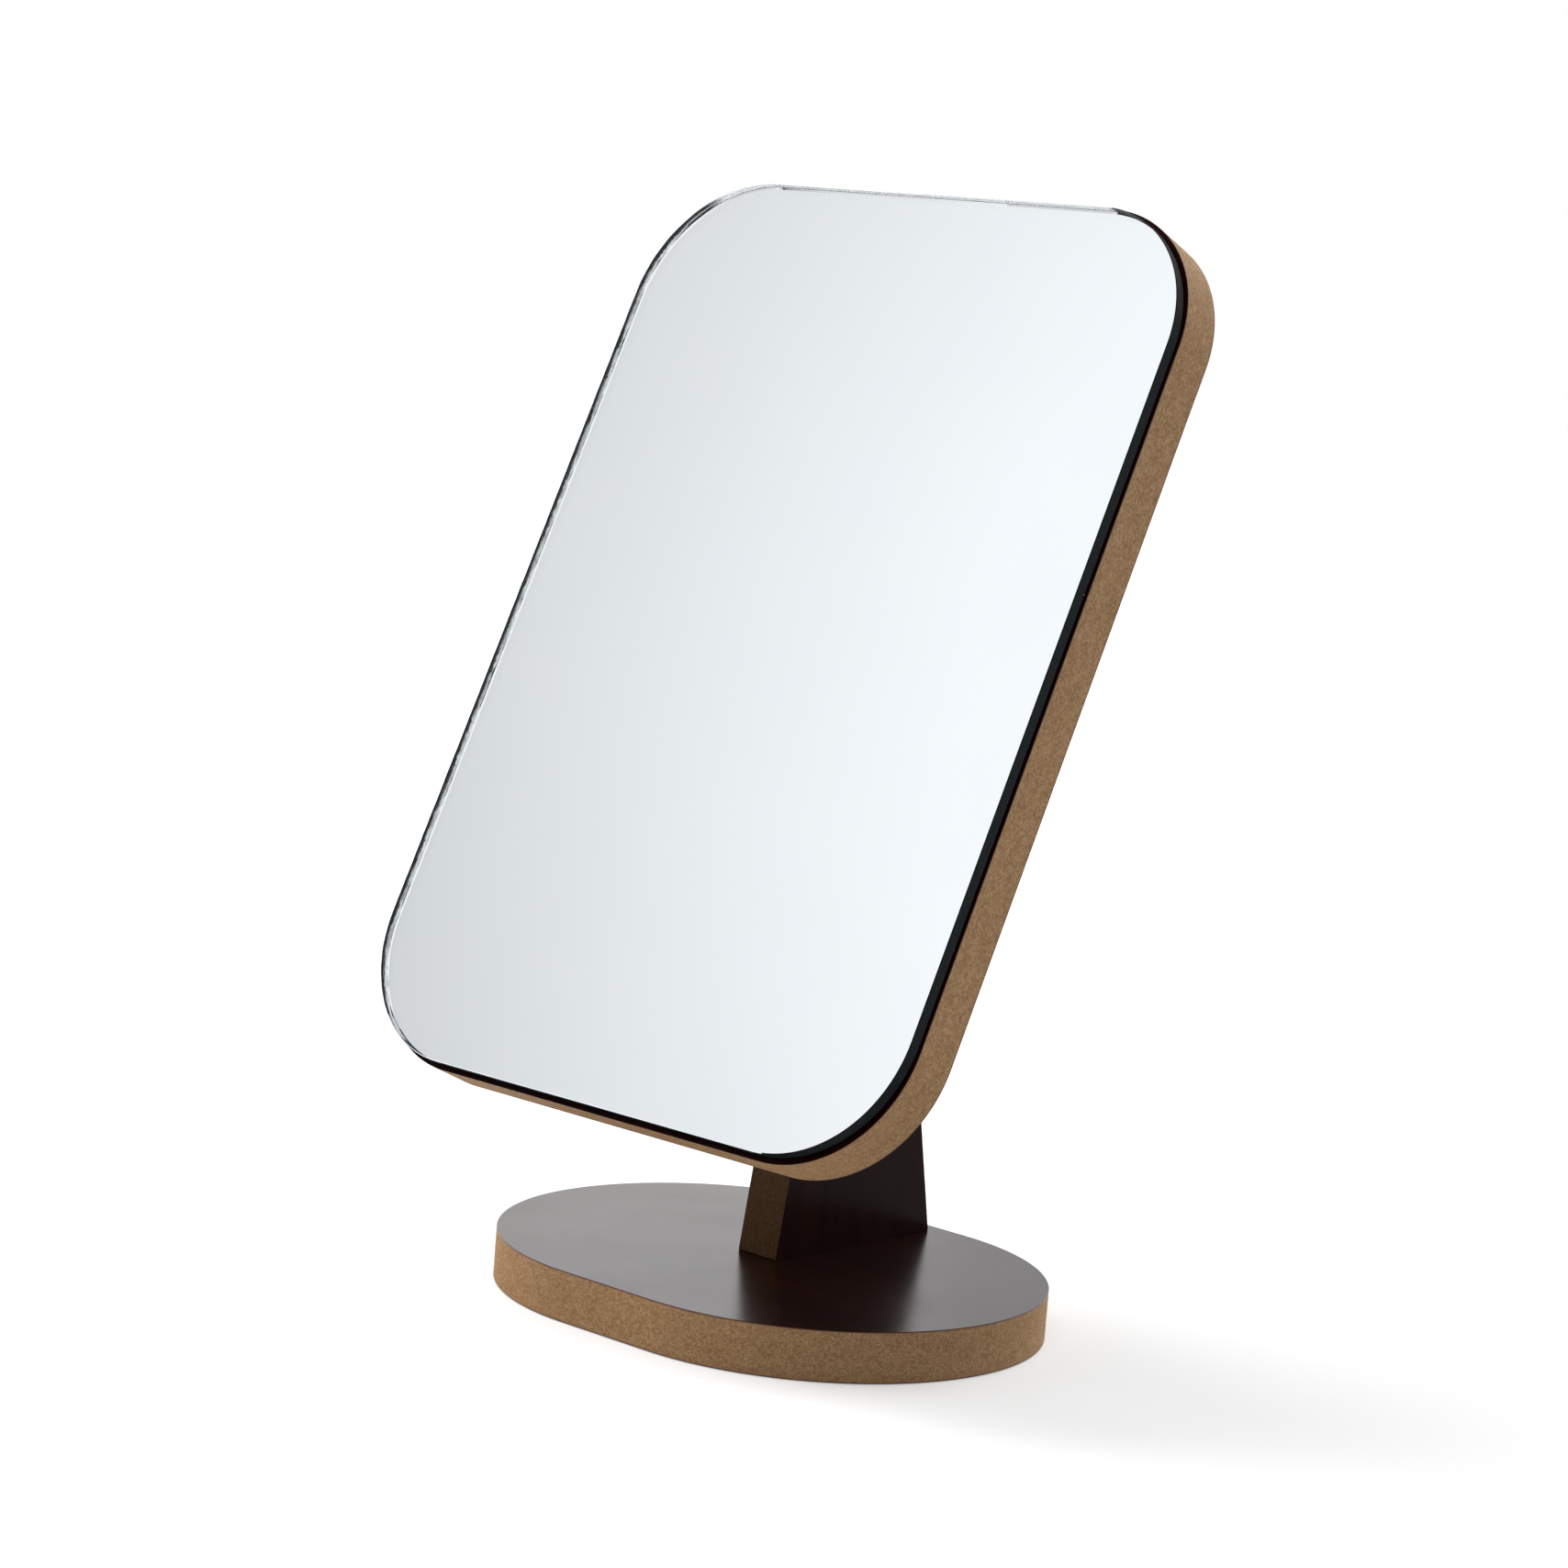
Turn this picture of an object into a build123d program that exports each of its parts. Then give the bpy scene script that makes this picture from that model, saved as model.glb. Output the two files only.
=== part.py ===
from build123d import *
import os
from math import cos, radians, sin

# A table mirror: glass on a wooden backboard that tilts on a tapered stem over an oval base.
# Millimetres, +Z up, +X to the viewer's right, the glass faces -Y.
# The origin is the middle of the base's underside.

# Foil-faced sheet that every wooden piece is cut from
core_thickness = 12.0
foil_thickness = 0.3

# Base, a flat oval with straight front and back
base_end_radius = 58.4
base_straight = 29.2

# Stem, an upright that tapers to a rounded head
stem_rear_inset = 4.5
stem_foot_depth = 58.9
stem_lean = 4.4
stem_head_radius = 10.0
pivot_rise = 106.8

# Backboard
board_width = 172.2
board_height = 242.6
board_corner_radius = 33.6
board_tilt = 24.15
pivot_below_center = 27.4

# Mirror glass, its silvered back and the tape that holds it
glass_side_margin = 0.1
glass_end_margin = 1.2
glass_thickness = 3.0
glass_arris = 0.4
coating_thickness = 0.1
tape_thickness = 1.0
tape_width = 12.0
tape_count = 4
tape_side_margin = 7.0
tape_end_margin = 28.0

# Ears on the back of the backboard
ear_reach = 40.6
ear_foot_height = 60.0
ear_end_radius = 12.0

# Countersunk wood screws
screw_diameter = 3.5
screw_head_diameter = 7.5
stem_screw_length = 40.0
stem_screw_spacing = 34.0
ear_screw_length = 32.0

# Connector bolt, its sleeve nut and the friction washers of the pivot
sleeve_diameter = 9.0
sleeve_bite = 3.2
bolt_diameter = 6.0
bolt_engagement = 15.0
pivot_head_diameter = 15.0
pivot_head_thickness = 2.0
socket_across_flats = 4.0
socket_depth = 2.4
washer_diameter = 18.0
washer_thickness = 0.8

# Clearances
screw_clearance = 0.05
bolt_clearance = 0.05
pivot_clearance = 0.08
tip_gap = 1.0

# Places worked out from the sizes above
sheet_thickness = core_thickness + 2 * foil_thickness
stem_rear = base_end_radius - stem_rear_inset
stem_front = stem_rear - stem_foot_depth
stem_middle = (stem_front + stem_rear) / 2
pivot_height = sheet_thickness + pivot_rise
pivot = (0, stem_middle - stem_lean, pivot_height)
ear_inner = sheet_thickness / 2 + washer_thickness
ear_middle = ear_inner + sheet_thickness / 2
ear_outer = ear_inner + sheet_thickness
pivot_hole_radius = sleeve_diameter / 2 + pivot_clearance
glass_width = board_width - 2 * glass_side_margin
glass_height = board_height - 2 * glass_end_margin
tape_pitch = (glass_width - 2 * tape_side_margin - tape_width) / (tape_count - 1)
screw_hole_radius = screw_diameter / 2 + screw_clearance
screw_seat_radius = screw_head_diameter / 2 + screw_clearance
countersink_angle = 90
hexagon_sides = 6
full_turn = 360

# The tilted plane through the pivot, parallel to the backboard, facing the viewer
board_up = (0, sin(radians(board_tilt)), cos(radians(board_tilt)))
board_front = (0, -cos(radians(board_tilt)), sin(radians(board_tilt)))
pivot_plane = Plane(origin=pivot, x_dir=(1, 0, 0), z_dir=board_front)
board_plane = pivot_plane.offset(ear_reach)
tape_plane = board_plane.offset(sheet_thickness)
coating_plane = tape_plane.offset(tape_thickness)
glass_plane = coating_plane.offset(coating_thickness)

# Screw seats, each facing the way its screw's head faces
stem_screw_seats = [
    Plane(origin=(0, stem_middle + side * stem_screw_spacing / 2, 0), z_dir=(0, 0, -1)).location
    for side in (-1, 1)
]
ear_screw_seats = [tape_plane.location * Location((x, 0, 0)) for x in (-ear_middle, ear_middle)]


# Write one finished piece under its own name
def save(builder, name):
    builder.part.label = name
    export_step(builder.part, f"parts/{name}.step")


# The three layers of a sheet, from the plane that its first face lies on
def sheet_layers(first_face):
    core_face = first_face.offset(foil_thickness)
    last_face = core_face.offset(core_thickness)
    return (first_face, foil_thickness), (core_face, core_thickness), (last_face, foil_thickness)


# A straight foot with tangent sides that close round a circular head, drilled for the pivot
def tongue_outline(foot_start, foot_end, head, head_radius):
    with BuildSketch() as outline:
        with BuildLine():
            Line(foot_start, foot_end)
            CenterArc(head, head_radius, 0, full_turn)
        make_hull()
        with Locations(head):
            Circle(pivot_hole_radius, mode=Mode.SUBTRACT)
    return outline.sketch


# A countersunk wood screw, head upwards with its face at the origin
def wood_screw(length):
    shank_radius = screw_diameter / 2
    head_radius = screw_head_diameter / 2
    head_height = head_radius - shank_radius
    with BuildPart() as screw:
        with BuildSketch(Plane.XZ):
            with BuildLine():
                Polyline(
                    (0, 0),
                    (head_radius, 0),
                    (shank_radius, -head_height),
                    (shank_radius, -length),
                    (0, -length),
                    close=True,
                )
            make_face()
        revolve(axis=Axis.Z)
    return screw.part


os.makedirs("parts", exist_ok=True)

# Base: bottom foil, core and top foil, drilled for the stem's screws
with BuildSketch() as base_outline:
    SlotCenterToCenter(base_straight, 2 * base_end_radius)
base_names = "base_bottom_foil", "base_core", "base_top_foil"
for name, (plane, thickness) in zip(base_names, sheet_layers(Plane.XY)):
    with BuildPart() as base_layer:
        with BuildSketch(plane):
            add(base_outline.sketch)
        extrude(amount=thickness)
        with Locations(*stem_screw_seats):
            CounterSinkHole(screw_hole_radius, screw_seat_radius, stem_screw_length, countersink_angle)
    save(base_layer, name)

# Stem: drawn from the side, foot on the base, the head round the pivot
stem_outline = tongue_outline(
    (stem_front, sheet_thickness),
    (stem_rear, sheet_thickness),
    pivot[1:],
    stem_head_radius,
)
stem_names = "stem_left_foil", "stem_core", "stem_right_foil"
for name, (plane, thickness) in zip(stem_names, sheet_layers(Plane.YZ.offset(-sheet_thickness / 2))):
    with BuildPart() as stem_layer:
        with BuildSketch(plane):
            add(stem_outline)
        extrude(amount=thickness)
        with Locations(*stem_screw_seats):
            CounterSinkHole(screw_hole_radius, screw_seat_radius, stem_screw_length + tip_gap, countersink_angle)
    save(stem_layer, name)

with BuildPart() as stem_screws:
    with Locations(*stem_screw_seats):
        add(wood_screw(stem_screw_length))
save(stem_screws, "stem_screws")

# Backboard: rear foil, core and front foil, drilled for the ears' screws
with BuildSketch() as board_outline:
    with Locations((0, pivot_below_center)):
        RectangleRounded(board_width, board_height, board_corner_radius)
board_names = "board_rear_foil", "board_core", "board_front_foil"
for name, (plane, thickness) in zip(board_names, sheet_layers(board_plane)):
    with BuildPart() as board_layer:
        with BuildSketch(plane):
            add(board_outline.sketch)
        extrude(amount=thickness)
        with Locations(*ear_screw_seats):
            CounterSinkHole(screw_hole_radius, screw_seat_radius, ear_screw_length, countersink_angle)
    save(board_layer, name)

# Ears: drawn from the side, foot on the backboard, the end round the pivot
ear_outline = tongue_outline(
    (ear_foot_height / 2, ear_reach),
    (-ear_foot_height / 2, ear_reach),
    (0, 0),
    ear_end_radius,
)
ear_plane = Plane(origin=pivot, x_dir=board_up, z_dir=(1, 0, 0))
ear_names = {
    -ear_outer: ("left_ear_outer_foil", "left_ear_core", "left_ear_inner_foil"),
    ear_inner: ("right_ear_inner_foil", "right_ear_core", "right_ear_outer_foil"),
}
for first_face, names in ear_names.items():
    for name, (plane, thickness) in zip(names, sheet_layers(ear_plane.offset(first_face))):
        with BuildPart() as ear_layer:
            with BuildSketch(plane):
                add(ear_outline)
            extrude(amount=thickness)
            with Locations(*ear_screw_seats):
                CounterSinkHole(screw_hole_radius, screw_seat_radius, ear_screw_length + tip_gap, countersink_angle)
        save(ear_layer, name)

with BuildPart() as ear_screws:
    with Locations(*ear_screw_seats):
        add(wood_screw(ear_screw_length))
save(ear_screws, "ear_screws")

# Glass with its silvered back, held by strips of foam tape
with BuildPart() as mounting_tape:
    with BuildSketch(tape_plane):
        with Locations((0, pivot_below_center)):
            with GridLocations(tape_pitch, 0, tape_count, 1):
                Rectangle(tape_width, glass_height - 2 * tape_end_margin)
    extrude(amount=tape_thickness)
save(mounting_tape, "mounting_tape")

with BuildPart() as mirror_coating:
    with BuildSketch(coating_plane):
        with Locations((0, pivot_below_center)):
            RectangleRounded(glass_width - 2 * glass_arris, glass_height - 2 * glass_arris, board_corner_radius)
    extrude(amount=coating_thickness)
save(mirror_coating, "mirror_coating")

with BuildPart() as mirror_glass:
    with BuildSketch(glass_plane):
        with Locations((0, pivot_below_center)):
            RectangleRounded(glass_width, glass_height, board_corner_radius)
    extrude(amount=glass_thickness)
    glass_faces = mirror_glass.faces().sort_by(Axis(pivot, board_front))
    chamfer(glass_faces[0].edges() + glass_faces[-1].edges(), glass_arris)
save(mirror_glass, "mirror_glass")

# Pivot: the sleeve nut enters from the right, through both ears and the stem, and the bolt from the left
turning_plane = Plane(origin=pivot, x_dir=(0, 1, 0), z_dir=(1, 0, 0))
sleeve_end = -ear_inner - sleeve_bite
bolt_end = sleeve_end + bolt_engagement

with BuildPart() as pivot_sleeve_nut:
    with BuildSketch(turning_plane.offset(ear_outer)):
        Circle(pivot_head_diameter / 2)
    extrude(amount=pivot_head_thickness)
    with BuildSketch(turning_plane.offset(sleeve_end)):
        Circle(sleeve_diameter / 2)
    extrude(amount=ear_outer - sleeve_end)
    with BuildSketch(turning_plane.offset(sleeve_end)):
        Circle(bolt_diameter / 2 + bolt_clearance)
    extrude(amount=bolt_engagement + tip_gap, mode=Mode.SUBTRACT)
    with BuildSketch(turning_plane.offset(ear_outer + pivot_head_thickness)):
        RegularPolygon(socket_across_flats / 2, hexagon_sides, major_radius=False)
    extrude(amount=-socket_depth, mode=Mode.SUBTRACT)
save(pivot_sleeve_nut, "pivot_sleeve_nut")

with BuildPart() as pivot_bolt:
    with BuildSketch(turning_plane.offset(-ear_outer)):
        Circle(pivot_head_diameter / 2)
    extrude(amount=-pivot_head_thickness)
    with BuildSketch(turning_plane.offset(-ear_outer)):
        Circle(bolt_diameter / 2)
    extrude(amount=ear_outer + bolt_end)
    with BuildSketch(turning_plane.offset(-ear_outer - pivot_head_thickness)):
        RegularPolygon(socket_across_flats / 2, hexagon_sides, major_radius=False)
    extrude(amount=socket_depth, mode=Mode.SUBTRACT)
save(pivot_bolt, "pivot_bolt")

with BuildPart() as friction_washers:
    for washer_face in (-ear_inner, sheet_thickness / 2):
        with BuildSketch(turning_plane.offset(washer_face)):
            Circle(washer_diameter / 2)
            Circle(pivot_hole_radius, mode=Mode.SUBTRACT)
        extrude(amount=washer_thickness)
save(friction_washers, "friction_washers")
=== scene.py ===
import math
import bmesh
import bpy
from mathutils import Matrix, Quaternion, Vector, noise
from mathutils.geometry import tessellate_polygon


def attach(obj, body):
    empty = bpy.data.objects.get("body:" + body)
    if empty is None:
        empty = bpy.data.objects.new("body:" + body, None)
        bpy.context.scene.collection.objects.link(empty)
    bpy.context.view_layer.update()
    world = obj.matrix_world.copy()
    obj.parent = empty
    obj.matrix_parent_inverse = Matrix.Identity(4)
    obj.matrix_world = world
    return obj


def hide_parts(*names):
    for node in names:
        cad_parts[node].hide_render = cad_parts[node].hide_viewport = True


# Table mirror: glass on a foil-faced board that tilts on a stem over an oval base.
# Piece sizes are in millimetres, Blender objects in metres.

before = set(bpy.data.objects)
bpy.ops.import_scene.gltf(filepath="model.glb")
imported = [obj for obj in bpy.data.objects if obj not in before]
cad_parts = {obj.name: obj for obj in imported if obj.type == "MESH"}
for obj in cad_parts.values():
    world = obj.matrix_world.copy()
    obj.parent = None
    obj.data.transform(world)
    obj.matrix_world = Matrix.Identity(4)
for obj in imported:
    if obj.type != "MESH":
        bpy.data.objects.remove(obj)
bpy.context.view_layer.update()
print("frame loaded,", len(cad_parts), "nodes")

mm = 0.001

sheet = {"core": 12.0, "foil": 0.3, "wallStep": 0.7, "coreRows": 12, "holeSides": 48, "fuzz": 0.035, "wear": 0.07,
         "nick": 0.16, "nickFrom": 0.28, "nickLength": 2.3, "waveShare": 0.5, "waveLength": 6.0, "longFibre": 1.1,
         "shortFibre": 0.45, "shortShare": 0.6, "layering": 2.5, "soften": 0.3}
sheetThickness = sheet["core"] + 2 * sheet["foil"]

pivot = {"y": 20.05, "z": 119.4, "hole": 4.58}
pivotPoint = Vector((0, pivot["y"], pivot["z"]))

board = {"width": 172.2, "height": 242.6, "corner": 33.6, "tilt": 24.15, "centreUp": 27.4, "reach": 40.6}
tilt = math.radians(board["tilt"])
boardUp = Vector((0, math.sin(tilt), math.cos(tilt)))
boardFront = Vector((0, -math.cos(tilt), math.sin(tilt)))
alongX = Vector((1, 0, 0))
alongY = Vector((0, 1, 0))
alongZ = Vector((0, 0, 1))


# Planes that pieces are drawn on: origin, two drawing directions and the way that depth runs
def drawingPlane(origin, across, upward, out):
    return {"origin": Vector(origin), "across": across, "upward": upward, "out": out}


def spot(plane, u, v, depth):
    return (plane["origin"] + plane["across"] * u + plane["upward"] * v + plane["out"] * depth) * mm


basePlane = drawingPlane((0, 0, 0), alongX, alongY, alongZ)
stemPlane = drawingPlane((-sheetThickness / 2, 0, 0), alongY, alongZ, alongX)
boardPlane = drawingPlane(pivotPoint + boardFront * board["reach"], alongX, boardUp, boardFront)


# Outline round a set of circles, with outward directions, walked anticlockwise
def outlineRound(circles, step):
    count = len(circles)
    normals = []
    for i in range(count):
        (ua, va, ra), (ub, vb, rb) = circles[i], circles[(i + 1) % count]
        du, dv = ub - ua, vb - va
        length = math.hypot(du, dv)
        du, dv = du / length, dv / length
        lean = (ra - rb) / length
        square = math.sqrt(1 - lean * lean)
        normals.append((dv * square + du * lean, -du * square + dv * lean))
    points = []
    for i in range(count):
        u, v, r = circles[i]
        (beforeU, beforeV), (nu, nv) = normals[i - 1], normals[i]
        start = math.atan2(beforeV, beforeU)
        sweep = (math.atan2(nv, nu) - start) % (2 * math.pi)
        pieces = max(4, round(r * sweep / step))
        for k in range(pieces + 1):
            angle = start + sweep * k / pieces
            points.append((u + r * math.cos(angle), v + r * math.sin(angle), math.cos(angle), math.sin(angle)))
        un, vn, rn = circles[(i + 1) % count]
        lastU, lastV = points[-1][0], points[-1][1]
        nextU, nextV = un + rn * nu, vn + rn * nv
        runs = max(1, round(math.hypot(nextU - lastU, nextV - lastV) / step))
        for k in range(1, runs):
            part = k / runs
            points.append((lastU + (nextU - lastU) * part, lastV + (nextV - lastV) * part, nu, nv))
    return points


def circlePoints(u, v, radius, sides):
    turns = [2 * math.pi * k / sides for k in range(sides)]
    return [(u + radius * math.cos(turn), v + radius * math.sin(turn)) for turn in turns]


def roundedRectangle(width, height, corner, middle, step):
    u, v = width / 2 - corner, height / 2 - corner
    mu, mv = middle
    circles = [(mu + u, mv - v, corner), (mu + u, mv + v, corner), (mu - u, mv + v, corner), (mu - u, mv - v, corner)]
    return outlineRound(circles, step)


# Meshes are gathered as plain lists, then made into one piece
def newShape():
    return {"verts": [], "coords": [], "gaps": [], "worn": [], "clear": [], "faces": [], "slots": [], "round": []}


def addRing(shape, places, coords, gaps=None, worn=None, clear=None):
    first = len(shape["verts"])
    shape["verts"] += places
    shape["coords"] += coords
    shape["gaps"] += gaps or [0.0] * len(places)
    shape["worn"] += worn or [0.0] * len(places)
    shape["clear"] += clear or [0.0] * len(places)
    return list(range(first, first + len(places)))


def flatRing(shape, plane, points, depth):
    return addRing(shape, [spot(plane, u, v, depth) for u, v in points],
                   [(u * mm, v * mm, depth * mm) for u, v in points])


def addFace(shape, corners, slot, rounded):
    shape["faces"].append(tuple(corners))
    shape["slots"].append(slot)
    shape["round"].append(rounded)


# Bands of rounded faces from ring to ring
def bridge(shape, rings, slot=0):
    for ringA, ringB in zip(rings, rings[1:]):
        count = len(ringA)
        for i in range(count):
            j = (i + 1) % count
            addFace(shape, (ringA[i], ringA[j], ringB[j], ringB[i]), slot, True)


# A flat face over one ring, or over an outer ring with holes
def capOver(shape, rings, slot=0):
    if len(rings) == 1:
        addFace(shape, rings[0], slot, False)
        return
    flat = [index for ring in rings for index in ring]
    loops = [[Vector(shape["verts"][index]) for index in ring] for ring in rings]
    for corner in tessellate_polygon(loops):
        addFace(shape, [flat[k] for k in corner], slot, False)


# The finished mesh stands for its CAD node; edges sharper than the given degrees stay crisp
def makePiece(name, shape, materials, body, node, sharp=32):
    mesh = bpy.data.meshes.new(name)
    mesh.from_pydata([tuple(v) for v in shape["verts"]], [], shape["faces"])
    for material in materials:
        mesh.materials.append(material)
    mesh.polygons.foreach_set("material_index", shape["slots"])
    mesh.polygons.foreach_set("use_smooth", shape["round"])
    coords = mesh.attributes.new("sheetCoord", "FLOAT_VECTOR", "POINT")
    coords.data.foreach_set("vector", [value for coord in shape["coords"] for value in coord])
    for layer, values in (("edgeGap", shape["gaps"]), ("wornWidth", shape["worn"]), ("clearShare", shape["clear"])):
        if any(values):
            mesh.attributes.new(layer, "FLOAT", "POINT").data.foreach_set("value", values)
    tidyMesh = bmesh.new()
    tidyMesh.from_mesh(mesh)
    bmesh.ops.recalc_face_normals(tidyMesh, faces=tidyMesh.faces)
    flats = [face for face in tidyMesh.faces if not face.smooth and len(face.verts) == 3]
    inner = [edge for edge in tidyMesh.edges if len(edge.link_faces) == 2
             and not any(face.smooth or len(face.verts) > 3 for face in edge.link_faces)]
    bmesh.ops.beautify_fill(tidyMesh, faces=flats, edges=inner, method="ANGLE")
    tidyMesh.to_mesh(mesh)
    tidyMesh.free()
    roundFaces = [face.use_smooth for face in mesh.polygons]
    mesh.set_sharp_from_angle(angle=math.radians(sharp))
    mesh.polygons.foreach_set("use_smooth", roundFaces)
    piece = bpy.data.objects.new(name, mesh)
    bpy.context.scene.collection.objects.link(piece)
    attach(piece, body)
    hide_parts(node)


# Fixed offsets that keep the ripples of different edges apart
seeds = {"shortFibre": 3.1, "foilNick": 7.7, "foilWave": 1.9, "rimNick": 3.1, "rimGrind": 1.3, "bevelLong": 5.3,
         "bevelShort": 1.7, "bevelSlope": 8.9}
depthSeed = 2.7


def ripple(u, v, depth, size, seed=0.0):
    return noise.noise(Vector((u / size + seed, v / size - seed, depth / size + depthSeed * seed)))


# Node helpers for the materials
def newMaterial(name):
    material = bpy.data.materials.new(name)
    material.use_nodes = True
    tree = material.node_tree
    return material, tree, tree.nodes["Principled BSDF"]


def setSockets(node, values):
    for key, value in values.items():
        node.inputs[key].default_value = value


def scaledCoord(tree, source, scale):
    mapping = tree.nodes.new("ShaderNodeMapping")
    mapping.inputs["Scale"].default_value = scale
    tree.links.new(source, mapping.inputs["Vector"])
    return mapping.outputs["Vector"]


def noiseOf(tree, vector, scale, detail, rough):
    node = tree.nodes.new("ShaderNodeTexNoise")
    setSockets(node, {"Scale": scale, "Detail": detail, "Roughness": rough})
    tree.links.new(vector, node.inputs["Vector"])
    return node.outputs["Fac"]


def rangeOf(tree, value, fromLow, fromHigh, toLow, toHigh, smooth=False):
    node = tree.nodes.new("ShaderNodeMapRange")
    if smooth:
        node.interpolation_type = "SMOOTHSTEP"
    setSockets(node, {"From Min": fromLow, "From Max": fromHigh, "To Min": toLow, "To Max": toHigh})
    tree.links.new(value, node.inputs["Value"])
    return node.outputs["Result"]


def rampOf(tree, value, stops):
    node = tree.nodes.new("ShaderNodeValToRGB")
    ramp = node.color_ramp
    while len(ramp.elements) < len(stops):
        ramp.elements.new(0.5)
    for element, (position, colour) in zip(ramp.elements, stops):
        element.position = position
        element.color = (*colour, 1)
    tree.links.new(value, node.inputs["Fac"])
    return node.outputs["Color"]


def mixColour(tree, factor, first, second, blend="MIX"):
    node = tree.nodes.new("ShaderNodeMix")
    node.data_type = "RGBA"
    node.blend_type = blend
    for socket, value in ((node.inputs[0], factor), (node.inputs[6], first), (node.inputs[7], second)):
        if isinstance(value, bpy.types.NodeSocket):
            tree.links.new(value, socket)
        else:
            socket.default_value = (*value, 1)
    return node.outputs[2]


def mathOf(tree, operation, first, second=None):
    node = tree.nodes.new("ShaderNodeMath")
    node.operation = operation
    for socket, value in zip(node.inputs, (first, second)):
        if isinstance(value, bpy.types.NodeSocket):
            tree.links.new(value, socket)
        elif value is not None:
            socket.default_value = value
    return node.outputs[0]


def bumpFrom(tree, shader, height, strength, distance):
    node = tree.nodes.new("ShaderNodeBump")
    setSockets(node, {"Strength": strength, "Distance": distance})
    tree.links.new(height, node.inputs["Height"])
    tree.links.new(node.outputs["Normal"], shader.inputs["Normal"])


def attributeOf(tree, name):
    node = tree.nodes.new("ShaderNodeAttribute")
    node.attribute_name = name
    return node


def objectCoord(tree):
    return tree.nodes.new("ShaderNodeTexCoord").outputs["Object"]


# How far a point of the sheet lies from the middle of its thickness
def distanceFromMiddle(tree, coord):
    depth = tree.nodes.new("ShaderNodeSeparateXYZ")
    tree.links.new(coord, depth.inputs[0])
    return mathOf(tree, "ABSOLUTE", depth.outputs["Z"])


# Raw cut edge of the fibreboard: fine mottled tan, short fibres along the sheet, a few bark specks, and painted shade
# over all of it when shade is given
def rawFibreboard(name, shade):
    look = {"dark": (0.340, 0.182, 0.076), "middle": (0.512, 0.294, 0.138), "light": (0.650, 0.418, 0.224),
            "bark": (0.160, 0.080, 0.034), "pale": (0.82, 0.64, 0.43), "shadeTone": (0.30, 0.24, 0.18),
            "fibreScale": 1700, "mottleScale": 260, "gritScale": 4200, "flakeScale": 1900,
            "fibreShare": 0.58, "mottleShare": 0.14, "gritShare": 0.28, "glueFrom": 0.0054, "glueTo": 0.0060}
    material, tree, shader = newMaterial(name)
    coord = attributeOf(tree, "sheetCoord").outputs["Vector"]
    fibres = noiseOf(tree, scaledCoord(tree, coord, (0.85, 0.85, 1.2)), look["fibreScale"], 3, 0.65)
    mottle = noiseOf(tree, scaledCoord(tree, coord, (1, 1, 1.6)), look["mottleScale"], 3, 0.5)
    grit = noiseOf(tree, coord, look["gritScale"], 2, 0.5)
    level = mathOf(tree, "MULTIPLY", fibres, look["fibreShare"])
    for part, share in ((mottle, look["mottleShare"]), (grit, look["gritShare"])):
        level = mathOf(tree, "ADD", level, mathOf(tree, "MULTIPLY", part, share))
    tan = rampOf(tree, level, [(0.385, look["dark"]), (0.5, look["middle"]), (0.61, look["light"])])
    flakes = noiseOf(tree, scaledCoord(tree, coord, (0.8, 0.8, 1.2)), look["flakeScale"], 1, 0.4)
    barkMask = rangeOf(tree, flakes, 0.70, 0.78, 0, 0.45, True)
    paleMask = rangeOf(tree, flakes, 0.31, 0.23, 0, 0.6, True)
    tan = mixColour(tree, barkMask, tan, look["bark"])
    tan = mixColour(tree, paleMask, tan, look["pale"])
    fromMiddle = distanceFromMiddle(tree, coord)
    glueLine = rangeOf(tree, fromMiddle, look["glueFrom"], look["glueTo"], 0, 0.3, True)
    tan = mixColour(tree, glueLine, tan, look["dark"])
    if shade:  # painted shade: the whole cut edge darkened, unevenly by the mottle
        paintedShade = rangeOf(tree, mottle, 0.3, 0.7, shade, shade + 0.1)
        tan = mixColour(tree, paintedShade, tan, look["shadeTone"], "MULTIPLY")
    tree.links.new(tan, shader.inputs["Base Color"])
    tree.links.new(rangeOf(tree, fibres, 0.3, 0.7, 0.88, 0.70), shader.inputs["Roughness"])
    setSockets(shader, {"IOR": 1.45})
    bumpFrom(tree, shader, level, 0.45, 0.0002)
    return material


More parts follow.
